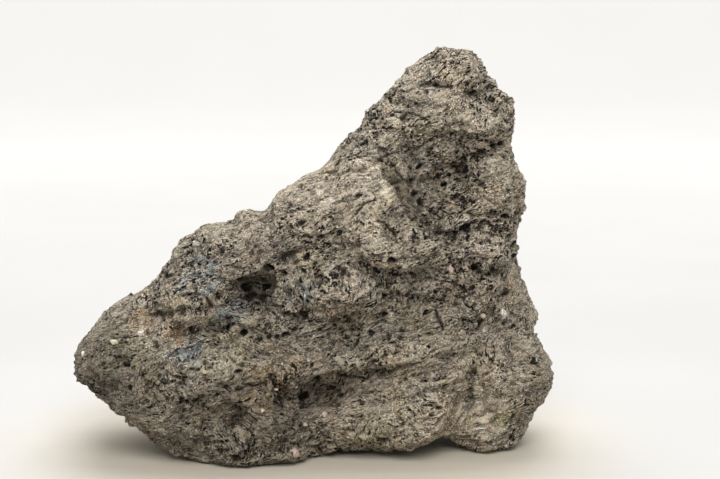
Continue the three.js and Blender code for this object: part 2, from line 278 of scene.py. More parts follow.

# Patches of painted light and shade, partly dust and soot: x, z, reach, and how many times as bright as
# the rest.
# The dark rows under the ledges, beside the slab's ridge and in the pockets are painted shade; the
# bright rows on the flanks and the slab's brink are painted light.
DUST_SOOT_AND_PAINTED_LIGHT = [
    (88, 36, 42, 1.28), (36, 24, 26, 1.20), (26, 168, 30, 1.14), (84, 236, 20, 1.16),
    (84, 205, 24, 1.27), (90, 168, 28, 1.18), (20, 114, 42, 1.30), (92, 150, 30, 1.16),
    (95, 22, 32, 1.20), (104, 130, 20, 1.15), (-84, 90, 24, 1.32), (-52, 82, 20, 1.14),
    (-62, 118, 18, 0.94), (115, 44, 24, 1.10), (48, 203, 16, 1.10), (-135, 62, 30, 0.52),
    (-112, 52, 28, 0.74), (-45, 26, 44, 0.70), (-15, 38, 20, 0.83), (4, 43, 14, 0.72),
    (62, 177, 10, 0.72), (69, 165, 10, 0.70), (76, 154, 9, 0.72), (82, 143, 8, 0.75),
    (90, 177, 11, 0.82), (42, 177, 7, 1.25), (48, 167, 7, 1.42), (55, 156, 7, 1.38), (62, 147, 6, 1.32),
    (40, 166, 9, 1.15), (37, 147, 6, 1.25), (21, 118, 7, 1.25), (30, 73, 9, 1.15), (54, 71, 9, 1.15),
    (-35, 107, 13, 0.66), (-72, 99, 8, 0.76), (-52, 97, 8, 0.72), (-30, 96, 9, 0.74),
    (-12, 91, 8, 0.78), (21, 90, 10, 0.70),
]

# Areas rougher (+) or smoother (-) than the rest: x, z, half length, half height, how much.
ROUGH_AREAS = [
    (88, 165, 28, 45, 0.7),         # recess
    (-15, 105, 45, 22, 0.5),        # middle
    (28, 168, 30, 20, -1.1),        # slab
    (60, 28, 40, 22, -0.8),         # lower flank
]

STAIN_COLOURS = {
    "blue": (0.27, 0.31, 0.325),
    "olive": (0.23, 0.21, 0.13),
    "ochre": (0.30, 0.21, 0.11),
    "lime": (0.30, 0.28, 0.15),
    "rust": (0.33, 0.20, 0.10),
    "pink": (0.30, 0.24, 0.21),
    "brown": (0.19, 0.14, 0.09),
}
GRAIN_COLOURS = {
    "white": (0.78, 0.73, 0.66),
    "pink": (0.66, 0.50, 0.42),
    "ochre": (0.62, 0.50, 0.30),
    "green": (0.50, 0.55, 0.38),
}
ROCK_DARK = (0.287, 0.240, 0.177)
ROCK_PALE = (0.378, 0.325, 0.252)
ROCK_RUST = (0.33, 0.215, 0.12)
ROCK_SLATE = (0.24, 0.275, 0.28)
ROCK_OLIVE = (0.25, 0.225, 0.12)
EARTHY_TINT = (1.03, 0.985, 0.88)
# Soot and dust also carry painted shade in low places and painted highlight on what stands proud.
SOOT_AND_PAINTED_SHADE = (0.062, 0.051, 0.036)
DUST_AND_PAINTED_HIGHLIGHT = (0.74, 0.65, 0.51)
# A painted glint: tiny bright highlights.
PAINTED_GLINT = (0.95, 0.86, 0.73)
# Painted shade for the hollows of the mesh.
HOLLOW_SHADE = (0.050, 0.041, 0.028)
# Painted shade for the fine creases.
CREASE_SHADE = (0.045, 0.036, 0.025)
# Near-black painted shade for pores, cracks and holes.
PORE_SHADE = (0.011, 0.009, 0.006)
GRAIN_DIRT = (0.30, 0.25, 0.19)
PAPER_WHITE = ((0.465, 0.460, 0.449), (0.480, 0.475, 0.464))
# Cream painted round the stone for the warm tone of its cast shadow.
CREAM_SHADOW_TINT = ((0.505, 0.462, 0.380), (0.525, 0.484, 0.404))
PAPER_GLOW = (1.0, 0.99, 0.975, 1)
TENT_LIGHT = (1.0, 0.985, 0.96, 1)


# ---------------------------------------------------------------- noise
def hashed(cell, seed):
    """Three well-mixed numbers from 0 to 1 for each row of whole numbers."""
    with np.errstate(over="ignore"):
        x, y, z = (cell[:, axis].astype(np.uint64) for axis in range(3))
        mixed = x * np.uint64(0x9E3779B97F4A7C15) + y * np.uint64(0xC2B2AE3D27D4EB4F)
        mixed += z * np.uint64(0x165667B19E3779F9) + np.uint64(seed * 7919 + 1)
        mixed ^= mixed >> np.uint64(29)
        mixed *= np.uint64(0xBF58476D1CE4E5B9)
        mixed ^= mixed >> np.uint64(32)
    low = (mixed & np.uint64(0x1FFFFF)).astype(np.float64)
    middle = ((mixed >> np.uint64(21)) & np.uint64(0x1FFFFF)).astype(np.float64)
    high = ((mixed >> np.uint64(42)) & np.uint64(0x1FFFFF)).astype(np.float64)
    return np.stack([low, middle, high], axis=1) / 0x1FFFFF


def noise(points, pitch, seed):
    """Smooth noise between about -1 and 1, with lumps about one pitch across."""
    scaled = points / pitch
    cell = np.floor(scaled).astype(np.int64)
    inside = scaled - cell
    fade = inside**3 * (inside * (inside * 6 - 15) + 10)
    total = np.zeros(len(points))
    for corner in np.ndindex(2, 2, 2):
        slope = hashed(cell + corner, seed) * 2 - 1
        weight = np.prod(np.where(corner, fade, 1 - fade), axis=1)
        total += weight * np.sum(slope * (inside - corner), axis=1)
    return total * 1.5


def cells(points, pitch, seed):
    """How far each point is from the nearest of a scatter, in pitches, and that one's own number."""
    scaled = points / pitch
    cell = np.floor(scaled).astype(np.int64)
    nearest = np.full(len(points), 9.0)
    own = np.zeros(len(points))
    for step in np.ndindex(3, 3, 3):
        neighbour = cell + np.array(step) - 1
        place = hashed(neighbour, seed)
        gap = np.linalg.norm(neighbour + place - scaled, axis=1)
        nearer = gap < nearest
        own = np.where(nearer, (place[:, 0] * 7.31 + place[:, 1] * 3.17) % 1, own)
        nearest = np.where(nearer, gap, nearest)
    return nearest, own


def ramp(value, low, high):
    """0 below low, 1 above high, smooth between."""
    step = np.clip((value - low) / (high - low), 0, 1)
    return step * step * (3 - 2 * step)


# ---------------------------------------------------------------- mesh helpers
def select_only(piece):
    bpy.ops.object.select_all(action="DESELECT")
    piece.select_set(True)
    bpy.context.view_layer.objects.active = piece


def finish_with(piece, kind, **settings):
    """Give a piece one modifier and apply it."""
    select_only(piece)
    modifier = piece.modifiers.new(kind.title(), kind)
    for name, value in settings.items():
        setattr(modifier, name, value)
    bpy.ops.object.modifier_apply(modifier=modifier.name)


def points_of(piece):
    """Every vertex, in millimetres."""
    flat = np.empty(len(piece.data.vertices) * 3)
    piece.data.vertices.foreach_get("co", flat)
    return flat.reshape(-1, 3) / MM


def normals_of(piece):
    flat = np.empty(len(piece.data.vertices) * 3)
    piece.data.vertices.foreach_get("normal", flat)
    return flat.reshape(-1, 3)


def move_to(piece, points):
    piece.data.vertices.foreach_set("co", (points * MM).ravel())
    piece.data.update()


def edges_of(piece):
    flat = np.empty(len(piece.data.edges) * 2, dtype=np.int64)
    piece.data.edges.foreach_get("vertices", flat)
    return flat.reshape(-1, 2)


def averaged(values, edges, rounds):
    """Each vertex's value blended with its neighbours', round after round."""
    count = np.bincount(edges.ravel(), minlength=len(values)).astype(float)[:, None]
    values = values.copy()
    for _ in range(rounds):
        total = np.zeros_like(values)
        for axis in range(values.shape[1]):
            total[:, axis] += np.bincount(edges[:, 0], values[edges[:, 1], axis], len(values))
            total[:, axis] += np.bincount(edges[:, 1], values[edges[:, 0], axis], len(values))
        values = values * OWN_SHARE + total / count * (1 - OWN_SHARE)
    return values


def unit(vectors):
    return vectors / np.maximum(np.linalg.norm(vectors, axis=1), 1e-9)[:, None]


# ---------------------------------------------------------------- the front's placed features
def wandering(points, share=1.0):
    """The places on the front, with every edge made to wander as broken stone does."""
    across = points[:, 0] + share * (2.4 * noise(points, 11, 31) + 1.2 * noise(points, 4.5, 32))
    up = points[:, 2] + share * (2.4 * noise(points, 11, 33) + 1.2 * noise(points, 4.5, 34))
    return across, up


def inside_ellipse(across, up, x, z, length, height, tilt):
    """1 at an ellipse's middle, falling to 0 at its edge and beyond."""
    turn = math.radians(tilt)
    along = (across - x) * math.cos(turn) + (up - z) * math.sin(turn)
    over = (up - z) * math.cos(turn) - (across - x) * math.sin(turn)
    return np.clip(1 - (along / length) ** 2 - (over / height) ** 2, 0, 1)


def along_line(across, up, line):
    """Distance to a line of points, which side of it (+ is below or right), and how far along."""
    nearest = np.full(len(across), 1e9)
    side = np.zeros(len(across))
    place = np.zeros(len(across))
    spans = [math.dist(a, b) for a, b in zip(line, line[1:])]
    start = 0.0
    for (a, b), span in zip(zip(line, line[1:]), spans):
        way = ((b[0] - a[0]) / span, (b[1] - a[1]) / span)
        reach = (across - a[0]) * way[0] + (up - a[1]) * way[1]
        held = np.clip(reach, 0, span)
        gap = np.hypot(across - a[0] - held * way[0], up - a[1] - held * way[1])
        nearer = gap < nearest
        across_way = (across - a[0]) * way[1] - (up - a[1]) * way[0]
        side = np.where(nearer, np.sign(across_way), side)
        place = np.where(nearer, (start + held) / sum(spans), place)
        nearest = np.where(nearer, gap, nearest)
        start += span
    return nearest, side, place


def stepped(across, up, line, depth, reach=LEDGE_REACH):
    """How far the stone steps back on one side of an edge, most just beside it."""
    gap, side, place = along_line(across, up, line)
    behind = side if depth > 0 else -side
    ends = ramp(np.minimum(place, 1 - place), -0.05, 0.2)
    crisp = ramp(gap * behind, -0.5, 0.9)
    return abs(depth) * ends * crisp * ramp(-gap, -reach, 0)


def front_relief(points, normals):
    """How far the placed features move each vertex along its normal, in millimetres."""
    across, up = wandering(points)
    facing = ramp(-normals[:, 1], -0.4, 0.25)
    out = np.zeros(len(points))
    for x, z, length, height, tilt, size in KNOBS:
        knob = inside_ellipse(across, up, x, z, length * 1.15, height * 1.15, tilt)
        out += size * ramp(knob, 0, 0.9)
    for x, z, length, height, tilt, depth in HOLLOWS:
        out -= depth * inside_ellipse(across, up, x, z, length, height, tilt) ** 0.8
    for line, depth in LEDGES:
        out -= stepped(across, up, line, depth)
    across, up = wandering(points, RIDGE_WANDER)
    for line, depth, reach in RIDGE_FEET:
        out -= stepped(across, up, line, depth, reach)
        out += RIDGE_LIP * stepped(across, up, line, -depth, reach * RIDGE_LIP)
    return out * facing


def front_fill(points):
    """How far forward the deepest undercuts of the front are filled out, in millimetres."""
    across, up = wandering(points)
    forward = np.zeros(len(points))
    for x, z, length, height, tilt, size in FILLS:
        filled = inside_ellipse(across, up, x, z, length, height, tilt)
        forward += size * ramp(filled, 0, 0.6)
    return forward * ramp(-points[:, 1], 5, 25)


def front_cuts(points, normals):
    """How far the cracks and holes of the front go in at each vertex, in millimetres."""
    across, up = wandering(points)
    facing = ramp(-normals[:, 1], -0.05, 0.35)
    depth_in = np.zeros(len(points))
    for line, depth in CRACKS:
        gap, _, place = along_line(across, up, line)
        width = CRACK_WIDTH * ramp(np.minimum(place, 1 - place), -0.25, 0.35)
        depth_in = np.maximum(depth_in, depth * np.clip(1 - gap / np.maximum(width, 0.1), 0, 1))
    across = across + 0.8 * noise(points, 2.4, 36)
    up = up + 0.8 * noise(points, 2.4, 37)
    for x, z, radius in HOLES:
        hole = inside_ellipse(across, up, x, z, radius * 1.25, radius, 20)
        depth_in = np.maximum(depth_in, HOLE_DEPTH * radius * np.sqrt(hole))
    return depth_in * facing


# ---------------------------------------------------------------- the stone's own texture
def along_flow(points, length, height):
    """Points squeezed so that plain noise on them is drawn out along the lava's flow."""
    run = points[:, 0] * math.cos(FLOW_RISE) + points[:, 2] * math.sin(FLOW_RISE)
    rise = points[:, 2] * math.cos(FLOW_RISE) - points[:, 0] * math.sin(FLOW_RISE)
    return np.stack([run / length, points[:, 1] / length * 1.6, rise / height], axis=1)


def roughness_of(points):
    """0 where the lava set in smooth, drawn-out skins, 1 where it is torn and full of bubbles."""
    patches = noise(points, 42, 3) + 0.6 * noise(points, 19, 4)
    for x, z, length, height, rougher in ROUGH_AREAS:
        reach = ((points[:, 0] - x) / length) ** 2 + ((points[:, 2] - z) / height) ** 2
        patches += rougher * np.exp(-reach)
    return ramp(patches, -0.45, 0.55)


def wandered(points, reach, pitch, seed):
    """Points shifted about by noise, so that nothing placed on them keeps a clean outline."""
    shift = [noise(points, pitch, seed + axis) for axis in range(3)]
    return points + reach * np.stack(shift, axis=1)


def clumps(points, pitch, seed):
    """Rounded clumps with sharp creases between them, from about -0.5 to 0.5."""
    near, own = cells(points, pitch, seed)
    return 0.75 - near**1.5 * 1.3 - 0.25 * own


def bubbles(points, pitch, least, most, share, seed):
    """Depth of round bubbles cut open by the surface, in millimetres."""
    near, own = cells(points, pitch, seed)
    radius = np.where(own < share, least + (most - least) * (own / share) ** 2, 0)
    return np.sqrt(np.clip(radius**2 - (near * pitch) ** 2, 0, None))


def layers(points, pitch, seed):
    """Overlapping layers: 1 at each one's lower lip, sloping back to 0 under the next."""
    rise = points[:, 2] * math.cos(FLOW_RISE) - points[:, 0] * math.sin(FLOW_RISE)
    rise = rise / pitch + 1.3 * noise(points, pitch * 3.2, seed)
    rise += 0.4 * noise(points, pitch * 1.1, seed + 1)
    step = rise - np.floor(rise)
    return np.where(step < LIP, step / LIP, (1 - step) / (1 - LIP))


def coarse_texture(points):
    """Billows, clumps and thick layers of the whole stone, in millimetres along the normal."""
    rough = roughness_of(points)
    bent = wandered(points, 5, 16, 14)
    drawn = noise(along_flow(points, 30, 9), 1, 11)
    broken = ramp(noise(points, 24, 18), -0.35, 0.35)
    return (
        2.4 * clumps(along_flow(bent, 1.3, 0.9), 21, 12) * (0.3 + 0.7 * rough)
        + 2.2 * clumps(bent, 10, 13) * (0.15 + 0.85 * rough)
        + 2.4 * (layers(points, 15, 16) - 0.5) * broken * (0.5 + 0.5 * rough)
        - 1.6 * np.abs(drawn) - 0.8
    )


def fine_texture(points):
    """Grain, torn edges, striations and bubbles, in millimetres along the normal."""
    rough = roughness_of(points)
    bent = wandered(points, 1.6, 5, 51)
    stretched = along_flow(bent, 1.5, 0.85)
    sway = 15 - 10 * ramp(points[:, 2], 70, 150)
    curving = wandered(points, sway[:, None], 30, 55)
    lines = 2.2 * np.abs(noise(along_flow(curving, 14, 3.2), 1, 21)) - 0.5
    crests = 1 - 2.4 * np.abs(noise(bent, 6.5, 28))
    small_crests = 1 - 2.4 * np.abs(noise(stretched, 3.2, 35))
    grit = noise(points, 2.6, 22) + 0.7 * noise(points, 1.5, 23)
    broken = ramp(noise(points, 12, 29), -0.3, 0.4)
    texture = 1.0 * lines * (1 - 0.4 * rough)
    texture += 1.3 * crests * (0.1 + 0.9 * rough)
    texture += 0.8 * small_crests * (0.4 + 0.6 * rough)
    texture += 1.4 * (layers(points, 5.5, 30) - 0.5) * broken * (0.6 + 0.4 * rough)
    texture += 0.9 * clumps(stretched, 4.2, 24) * (0.35 + 0.65 * rough)
    texture += 0.6 * grit * (0.5 + 0.5 * rough)
    dense = ramp(noise(points, 17, 25) + rough * 0.8, -0.1, 0.7)
    texture -= 1.5 * bubbles(stretched, 9.5, 1.2, 2.8, 0.5, 26) * (0.15 + 0.85 * dense)
    texture -= 1.8 * bubbles(stretched, 4.8, 0.9, 1.8, 0.85, 27) * (0.25 + 0.75 * dense)
    return texture


def coarse_work(points, normals):
    return front_relief(points, normals) + coarse_texture(points)


def fine_work(points, normals):
    return fine_texture(points) - front_cuts(points, normals)


# ---------------------------------------------------------------- the stone
def copy_of_solid(name):
    """The CAD solid's mesh as a new piece, its loose triangles joined."""
    piece = bpy.data.objects.new("lava_stone", bpy.data.objects[name].data.copy())
    bpy.context.scene.collection.objects.link(piece)
    select_only(piece)
    bpy.ops.object.mode_set(mode="EDIT")
    bpy.ops.mesh.select_all(action="SELECT")
    bpy.ops.mesh.remove_doubles(threshold=0.01 * MM)
    bpy.ops.object.mode_set(mode="OBJECT")
    return piece


def push(piece, how_far, rounds):
    """Move every vertex along its smoothed normal, with the feet left flat on the table."""
    points = points_of(piece)
    normals = unit(averaged(normals_of(piece), edges_of(piece), rounds))
    distance = how_far(points, normals) * ramp(points[:, 2], 0.1, FOOT_FADE)
    moved = points + normals * distance[:, None]
    moved[:, 2] = np.where(moved[:, 2] < FOOT_FLAT, 0, moved[:, 2])
    move_to(piece, moved)


def drop_crumbs(piece):
    """Keep only the body that the topmost vertex belongs to."""
    top = int(np.argmax(points_of(piece)[:, 2]))
    select_only(piece)
    bpy.ops.object.mode_set(mode="EDIT")
    bpy.ops.mesh.select_all(action="DESELECT")
    bpy.ops.object.mode_set(mode="OBJECT")
    piece.data.vertices[top].select = True
    bpy.ops.object.mode_set(mode="EDIT")
    bpy.ops.mesh.select_linked()
    bpy.ops.mesh.select_all(action="INVERT")
    bpy.ops.mesh.delete(type="VERT")
    bpy.ops.object.mode_set(mode="OBJECT")


def lava_stone():
    stone = copy_of_solid("lava_rock")
    finish_with(stone, "SUBSURF", levels=2, render_levels=2)
    finish_with(stone, "REMESH", mode="VOXEL", voxel_size=COARSE_CELL * MM)
    points = points_of(stone)
    points[:, 1] -= front_fill(points)
    move_to(stone, points)
    push(stone, coarse_work, 6)
    finish_with(stone, "REMESH", mode="VOXEL", voxel_size=FINE_CELL * MM)
    push(stone, fine_work, 5)
    triangles = sum(len(face.vertices) - 2 for face in stone.data.polygons)
    finish_with(stone, "DECIMATE", ratio=TRIANGLES / triangles)
    drop_crumbs(stone)
    select_only(stone)
    bpy.ops.object.shade_smooth_by_angle(angle=SHARP_ANGLE)
    return stone


def store(piece, name, values):
    """Keep one number or colour for each vertex, for the material to read."""
    if values.ndim == 1:
        piece.data.attributes.new(name, "FLOAT", "POINT").data.foreach_set("value", values)
    else:
        opaque = np.column_stack([values, np.ones(len(values))]).ravel()
        piece.data.attributes.new(name, "FLOAT_COLOR", "POINT").data.foreach_set("color", opaque)


def edge_shade(points):
    """How much darker the painted shade is just under the ledges and beside the ridges, from 0 to 0.6.
    """
    across, up = wandering(points)
    drop = np.zeros(len(points))
    for line, depth in LEDGES:
        drop += stepped(across, up, line, depth, SHADED_REACH)
    across, up = wandering(points, RIDGE_WANDER)
    for line, depth, reach in RIDGE_FEET:
        drop += stepped(across, up, line, depth, reach / 2)
    return np.minimum(drop * SHADED_PER_MM, SHADED_MOST)


def stains_of(points, facing, patchy):
    """The colour of the stains at each vertex, and how strongly it shows."""
    across, up = wandering(points)
    colour = np.zeros((len(points), 3))
    strength = np.zeros(len(points))
    for x, z, reach, name in STAINS:
        here = ramp(inside_ellipse(across, up, x, z, reach * 1.3, reach, 15), 0, 0.8)
        here = here * patchy * facing
        colour = colour * (1 - here)[:, None] + np.array(STAIN_COLOURS[name]) * here[:, None]
        strength = np.maximum(strength, here)
    return colour / np.maximum(strength, 1e-3)[:, None], strength


def shade_of(points, facing, patchy):
    """How many times as bright the lava is at each vertex, from painted light and shade and from its
    dust and soot.
    """
    across, up = wandering(points, RIDGE_WANDER)
    # Painted light: brighter where the lava faces the front, and towards the top.
    shade = (0.86 + 0.43 * facing) * (0.98 + 0.11 * ramp(points[:, 2], 100, 165))
    for x, z, reach, times in DUST_SOOT_AND_PAINTED_LIGHT:
        here = ramp(inside_ellipse(across, up, x, z, reach * 1.15, reach, 15), 0, 0.7) * facing
        shade *= 1 + (times - 1) * here * (0.6 + 0.4 * patchy)
    # Painted shade under the ledges and beside the ridges.
    return shade * (1 - edge_shade(points) * facing)


def mark_surface(stone):
    """Store where the surface is hollow or proud, how torn it is, where it is cut, its stains, and its
    painted light and shade.
    """
    points = points_of(stone)
    normals = normals_of(stone)
    edges = edges_of(stone)
    near = averaged(points, edges, 3)
    wide = averaged(near, edges, 22)
    level = averaged(normals, edges, 4)
    store(stone, "proud_near", np.sum((points - near) * level, axis=1))
    store(stone, "proud_wide", np.sum((near - wide) * level, axis=1))
    store(stone, "torn", roughness_of(points))
    store(stone, "cut", ramp(front_cuts(points, normals), 0.3, 2.0))
    facing = ramp(-normals[:, 1], -0.1, 0.3)
    patchy = ramp(noise(points, 7, 41) + 0.6 * noise(points, 2.5, 42), -0.5, 0.5)
    colour, strength = stains_of(points, facing, patchy)
    store(stone, "stain", colour)
    store(stone, "stained", strength)
    store(stone, "shade", shade_of(points, facing, patchy))


# ---------------------------------------------------------------- mineral grains
def surface_place(tree, x, z):
    """Where a straight line from the front meets the stone, and the normal there."""
    place, normal, _, _ = tree.ray_cast(Vector((x, -IN_FRONT, z)) * MM, Vector((0, 1, 0)))
    return place, normal


def grain_places(stone):
    """Place, normal, radius and kind of every grain: first the placed ones, then a scatter."""
    tree = BVHTree.FromObject(stone, bpy.context.evaluated_depsgraph_get())
    rows = []
    for x, z, radius, kind in GRAINS:
        place, normal = surface_place(tree, x, z)
        if place is not None:
            rows.append((place, normal, radius, kind))
    chance = hashed(np.arange(SCATTERED_GRAINS * 3).reshape(-1, 3), 61)
    for where, size, kind in chance:
        vertex = stone.data.vertices[int(where * len(stone.data.vertices))]
        if vertex.co.z > GRAIN_CLEARANCE * MM:
            radius = 0.45 + 0.9 * size**3
            name = SCATTERED_KINDS[int(kind * (len(SCATTERED_KINDS) - 0.01))]
            rows.append((vertex.co.copy(), vertex.normal.copy(), radius, name))
    return rows


def crystal(corners, number):
    """A ball's corners made into those of one angular crystal."""
    squashed = corners * (0.7 + 0.6 * hashed(np.full((1, 3), number), 62))
    uneven = hashed(np.arange(len(corners) * 3).reshape(-1, 3) + number, 63)[:, :1]
    return squashed * (0.75 + 0.6 * uneven)


def mineral_grains(stone):
    """Small angular crystals set into the stone, some placed and some scattered all round."""
    rows = grain_places(stone)
    bpy.ops.object.select_all(action="DESELECT")
    bpy.ops.mesh.primitive_ico_sphere_add(subdivisions=1, radius=1, location=(0, 0, 0))
    grains = bpy.context.active_object
    grains.name = "mineral_grains"
    corners = np.array([vertex.co[:] for vertex in grains.data.vertices])
    faces = np.array([face.vertices[:] for face in grains.data.polygons])
    vertices, polygons, colours = [], [], []
    for number, (place, normal, radius, kind) in enumerate(rows):
        centre = np.array(place) / MM - np.array(normal) * radius * GRAIN_SINK
        vertices.append(crystal(corners, number) * radius * GRAIN_SWELL + centre)
        polygons += (faces + number * len(corners)).tolist()
        colours.append(np.tile(np.array(GRAIN_COLOURS[kind]), (len(corners), 1)))
    mesh = bpy.data.meshes.new("mineral_grains")
    mesh.from_pydata((np.concatenate(vertices) * MM).tolist(), [], polygons)
    grains.data = mesh
    store(grains, "tone", np.concatenate(colours))
    return grains


# ---------------------------------------------------------------- materials
class Nodes:
    """A short way to add and join a material's nodes."""

    def __init__(self, name):
        self.material = bpy.data.materials.new(name)
        self.material.use_nodes = True
        self.tree = self.material.node_tree
        self.shader = self.tree.nodes["Principled BSDF"]

    def put(self, socket, value):
        if isinstance(value, bpy.types.NodeSocket):
            self.tree.links.new(value, socket)
        else:
            socket.default_value = value

    def add(self, kind, output=0, inputs=(), **settings):
        node = self.tree.nodes.new(kind)
        for name, value in settings.items():
            setattr(node, name, value)
        for name, value in dict(inputs).items():
            self.put(node.inputs[name], value)
        return node.outputs[output]

    def millimetres(self):
        """Object coordinates in millimetres."""
        metres = self.add("ShaderNodeTexCoord", "Object")
        return self.add("ShaderNodeMapping", inputs={"Vector": metres, "Scale": (1 / MM,) * 3})

    def drawn_out(self, where, stretch, turn=0.0):
        """Coordinates turned about Y and squeezed, so that noise on them is drawn out."""
        scale = tuple(1 / part for part in stretch)
        turned = self.add("ShaderNodeMapping", inputs={"Vector": where, "Rotation": (0, turn, 0)})
        return self.add("ShaderNodeMapping", inputs={"Vector": turned, "Scale": scale})

    def curved(self, where, pitch, reach):
        """Coordinates shifted about by smooth noise, so that straight lines on them curve."""
        soft = {"Vector": where, "Scale": 1 / pitch, "Detail": 1.0}
        shift = self.add("ShaderNodeTexNoise", "Color", soft)
        centred = self.arrow("SUBTRACT", {0: shift, 1: (0.5, 0.5, 0.5)})
        scaled = self.arrow("SCALE", {0: centred, "Scale": reach})
        return self.arrow("ADD", {0: where, 1: scaled})

    def arrow(self, kind, inputs, output="Vector"):
        """A sum on vectors."""
        return self.add("ShaderNodeVectorMath", output, inputs, operation=kind)

    def noise(self, where, pitch, detail=3.0, rough=0.6):
        return self.add(
            "ShaderNodeTexNoise", "Fac",
            {"Vector": where, "Scale": 1 / pitch, "Detail": detail, "Roughness": rough},
        )

    def sum(self, kind, first, second):
        return self.add("ShaderNodeMath", inputs={0: first, 1: second}, operation=kind)

    def plus(self, first, second):
        return self.sum("ADD", first, second)

    def minus(self, first, second):
        return self.sum("SUBTRACT", first, second)

    def times(self, first, second):
        return self.sum("MULTIPLY", first, second)

    def step(self, value, low, high, to_low=0.0, to_high=1.0):
        """A smooth step from to_low, at and below low, to to_high, at and above high."""
        limits = {"From Min": low, "From Max": high, "To Min": to_low, "To Max": to_high}
        return self.add(
            "ShaderNodeMapRange", inputs={"Value": value, **limits}, interpolation_type="SMOOTHSTEP"
        )

    def mix(self, amount, first, second, kind="MIX"):
        node = self.tree.nodes.new("ShaderNodeMix")
        node.data_type = "RGBA"
        node.blend_type = kind
        self.put(node.inputs[0], amount)
        for socket, value in ((node.inputs[6], first), (node.inputs[7], second)):
            self.put(socket, value if isinstance(value, bpy.types.NodeSocket) else (*value, 1))
        return node.outputs[2]

    def stored(self, name, output="Fac"):
        return self.add("ShaderNodeAttribute", output, attribute_name=name)


def lava_pores(n, where, drawn):
    """Solid lava 1 and pits 0, for pits of 1 to 2 mm, and the same for blisters of 3 mm."""
    crowd = n.plus(n.noise(where, 9, 3, 0.6), n.times(n.stored("torn"), 0.16))
    shift = n.times(n.minus(crowd, 0.58), 0.28)
    wide = n.step(n.minus(n.noise(drawn, 2.1, 3, 0.6), shift), 0.368, 0.386)
    fine = n.step(n.minus(n.noise(drawn, 1.1, 2, 0.6), shift), 0.394, 0.412)
    blisters = n.step(n.minus(n.noise(drawn, 3.4, 2, 0.5), shift), 0.325, 0.355)
    return n.times(wide, fine), blisters


def lava_wrinkles(n, where, curved):
    """1 along thin, broken creases that follow the flow."""
    folds = n.noise(n.drawn_out(curved, (3, 2, 1), FLOW_RISE), 3.0, 2, 0.5)
    crease = n.sum("ABSOLUTE", n.minus(folds, 0.5), 0)
    broken = n.step(n.noise(where, 6, 2, 0.5), 0.44, 0.56)
    return n.times(n.step(crease, 0.006, 0.028, 1.0, 0.0), broken)


def rock_colour(n, where, curved, drawn):
    """Grey-brown lava with rusty, slaty and olive patches."""
    patches = n.noise(where, 34, 3, 0.6)
    colour = n.mix(n.step(patches, 0.38, 0.62), ROCK_DARK, ROCK_PALE)
    rusty = n.step(n.noise(where, 11, 3, 0.7), 0.50, 0.68, 0.0, 0.6)
    slaty = n.step(n.noise(curved, 8, 3, 0.7), 0.54, 0.70, 0.0, 0.5)
    olive = n.step(n.noise(drawn, 13, 3, 0.7), 0.54, 0.70, 0.0, 0.4)
    colour = n.mix(rusty, colour, ROCK_RUST)
    colour = n.mix(slaty, colour, ROCK_SLATE)
    return n.mix(olive, colour, ROCK_OLIVE)


def dust_and_shade_tone(n, grit, lines, mottle, proud):
    """How pale the lava is: sooty and painted as shade below 0.5, dusty and painted as lit above,
    darker where the fine relief and the surface sink.
    """
    tone = n.plus(n.times(grit, 0.55), n.times(lines, 0.45))
    tone = n.plus(tone, n.times(n.minus(mottle, 0.5), 0.45))
    return n.plus(tone, n.times(n.step(proud, -0.9, 0.9, -1.0, 1.0), 0.085))


def fine_relief(n, grit, lines, solid, wrinkles):
    """The relief that is too fine for the mesh."""
    height = n.plus(n.times(grit, 1.6), n.times(solid, 0.5))
    height = n.plus(height, n.times(lines, 1.4))
    height = n.minus(height, n.times(wrinkles, 0.25))
    relief = {"Height": height, "Strength": 1.0, "Distance": 3.0 * MM}
    n.put(n.shader.inputs["Normal"], n.add("ShaderNodeBump", inputs=relief))


